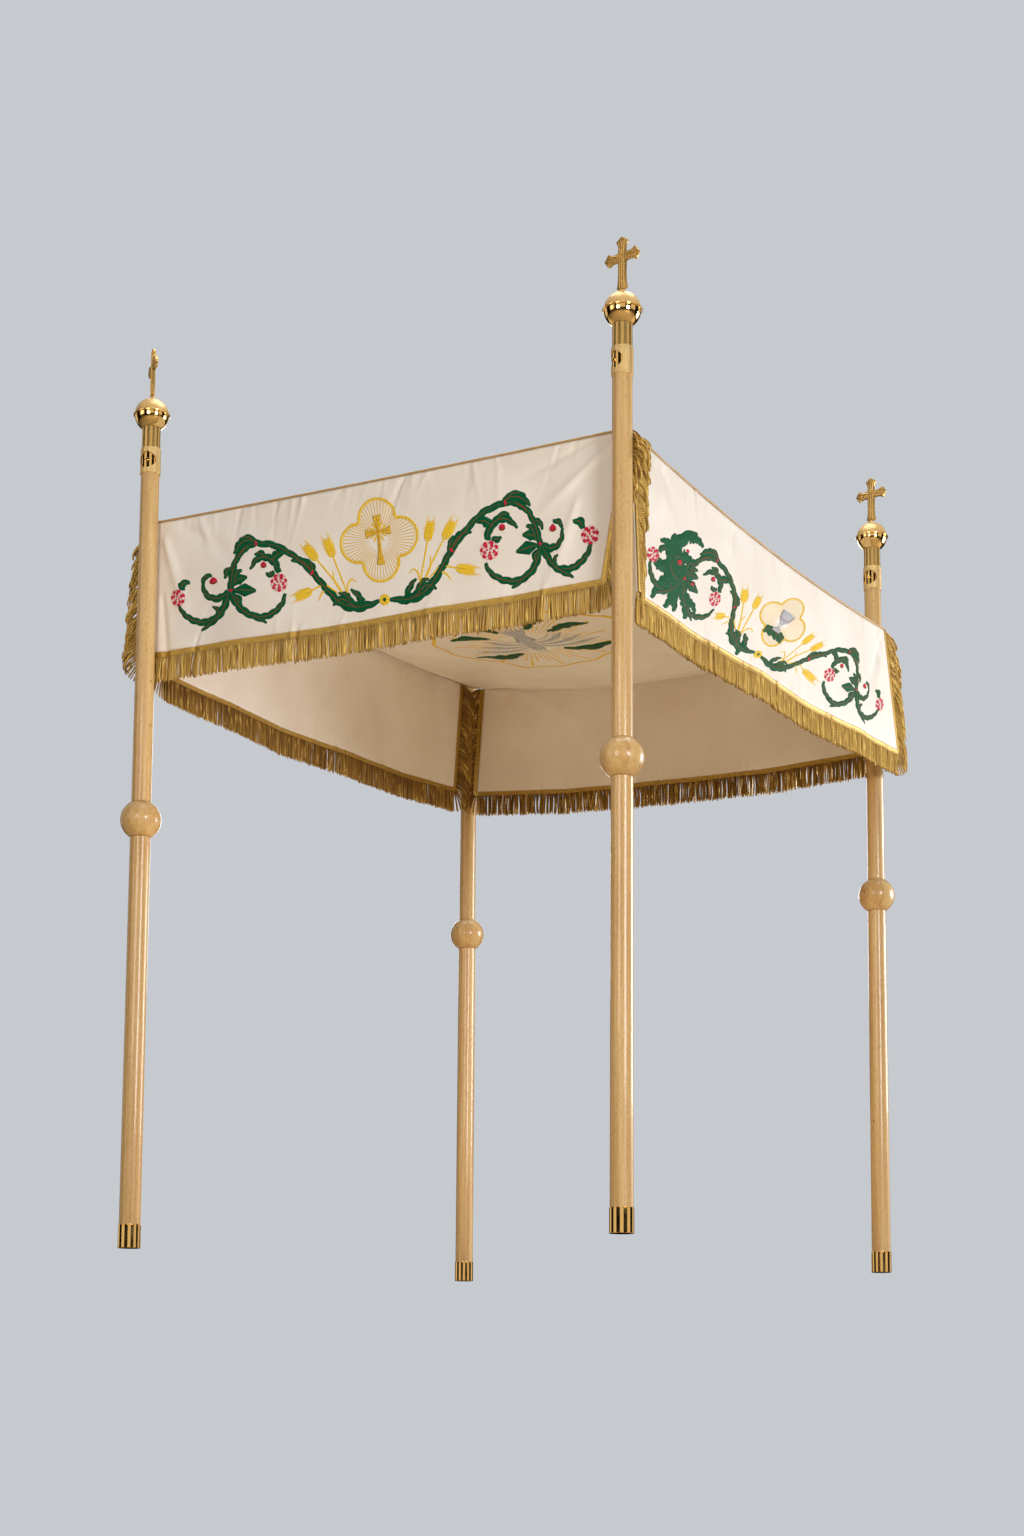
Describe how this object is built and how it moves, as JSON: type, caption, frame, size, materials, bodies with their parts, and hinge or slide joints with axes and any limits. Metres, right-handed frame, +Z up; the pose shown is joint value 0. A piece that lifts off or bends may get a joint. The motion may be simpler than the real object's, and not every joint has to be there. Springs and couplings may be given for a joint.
{
  "type": "processional canopy with carrying poles",
  "caption": "Rectangular processional canopy: a sagging satin roof with embroidered, gold-fringed valances hung between turned wooden poles with brass feet, balls and crosses.",
  "frame": {"origin": "on the ground, under the middle of the whole object's box", "axes": "+Z up along the poles; the front valance faces -Y; the right valance faces +X"},
  "size_m": [1.4206, 1.7272, 2.2],
  "materials": {
    "ivory_satin": "ivory duchess satin with a soft sheen, lightly puckered along the seams, with raised silk embroidery",
    "gold_bullion": "old-gold twisted bullion cords hanging from a woven gimp heading, glinting metal thread",
    "gold_piping": "brown-gold corded piping along the top seams",
    "varnished_beech": "pale beech, fine straight grain with short dark flecks, clear gloss varnish",
    "polished_brass": "turned brass polished to a mirror, clear lacquered",
    "satin_brass": "fine-brushed brass sleeve, satin",
    "cast_brass": "cast brass, fluted arms, darker in the grooves and bright on the ridges"
  },
  "bodies": {
    "root": {"front_left_ferrule": "polished_brass", "front_left_shaft_lower": "varnished_beech", "front_left_knob": "varnished_beech", "front_left_shaft_upper": "varnished_beech", "front_left_sleeve": "satin_brass", "front_left_neck": "polished_brass", "front_left_ball": "polished_brass", "front_left_cross": "cast_brass", "front_right_ferrule": "polished_brass", "front_right_shaft_lower": "varnished_beech", "front_right_knob": "varnished_beech", "front_right_shaft_upper": "varnished_beech", "front_right_sleeve": "satin_brass", "front_right_neck": "polished_brass", "front_right_ball": "polished_brass", "front_right_cross": "cast_brass", "back_right_ferrule": "polished_brass", "back_right_shaft_lower": "varnished_beech", "back_right_knob": "varnished_beech", "back_right_shaft_upper": "varnished_beech", "back_right_sleeve": "satin_brass", "back_right_neck": "polished_brass", "back_right_ball": "polished_brass", "back_right_cross": "cast_brass", "back_left_ferrule": "polished_brass", "back_left_shaft_lower": "varnished_beech", "back_left_knob": "varnished_beech", "back_left_shaft_upper": "varnished_beech", "back_left_sleeve": "satin_brass", "back_left_neck": "polished_brass", "back_left_ball": "polished_brass", "back_left_cross": "cast_brass", "roof": "ivory_satin", "valance_front": "ivory_satin", "valance_right": "ivory_satin", "valance_back": "ivory_satin", "valance_left": "ivory_satin", "piping_front": "gold_piping", "piping_right": "gold_piping", "piping_back": "gold_piping", "piping_left": "gold_piping", "fringe_front_start": "gold_bullion", "fringe_front_hem": "gold_bullion", "fringe_front_end": "gold_bullion", "fringe_right_start": "gold_bullion", "fringe_right_hem": "gold_bullion", "fringe_right_end": "gold_bullion", "fringe_back_start": "gold_bullion", "fringe_back_hem": "gold_bullion", "fringe_back_end": "gold_bullion", "fringe_left_start": "gold_bullion", "fringe_left_hem": "gold_bullion", "fringe_left_end": "gold_bullion"}
  },
  "joints": []
}
